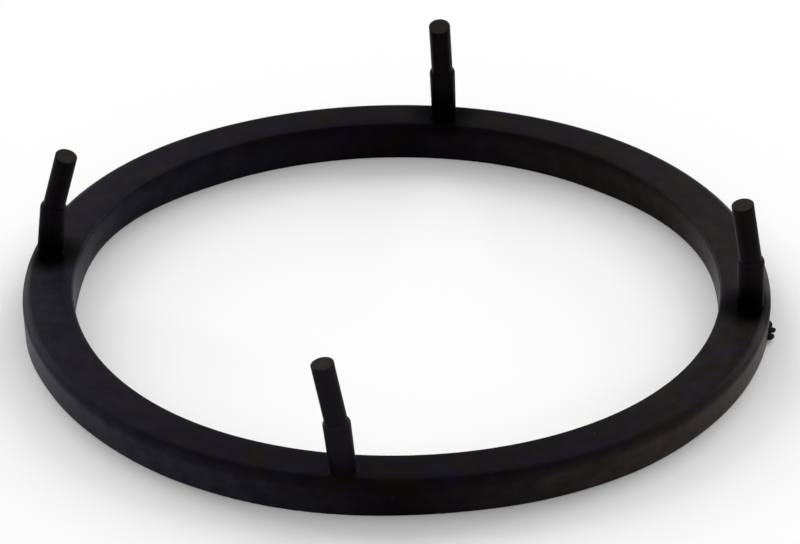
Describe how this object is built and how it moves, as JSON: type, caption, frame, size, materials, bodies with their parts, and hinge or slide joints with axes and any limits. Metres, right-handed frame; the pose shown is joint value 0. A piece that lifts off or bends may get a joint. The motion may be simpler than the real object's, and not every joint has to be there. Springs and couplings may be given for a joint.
{
  "type": "sewer hose coupler seal",
  "caption": "Moulded black rubber ring seal for a hose coupler, with stepped pull-through pegs standing up from its top face.",
  "frame": {"origin": "centre of the ring, on the plane of its flat sealing face", "axes": "+Z along the ring's axis, from the sealing face towards the pegs; +X and +Y each point at a peg, to within half a degree"},
  "size_m": [0.1029, 0.102, 0.0218],
  "materials": {
    "black_rubber": "moulded satin rubber, near black, with a faint grey bloom"
  },
  "bodies": {
    "root": {"coupler_seal": "black_rubber"}
  },
  "joints": []
}
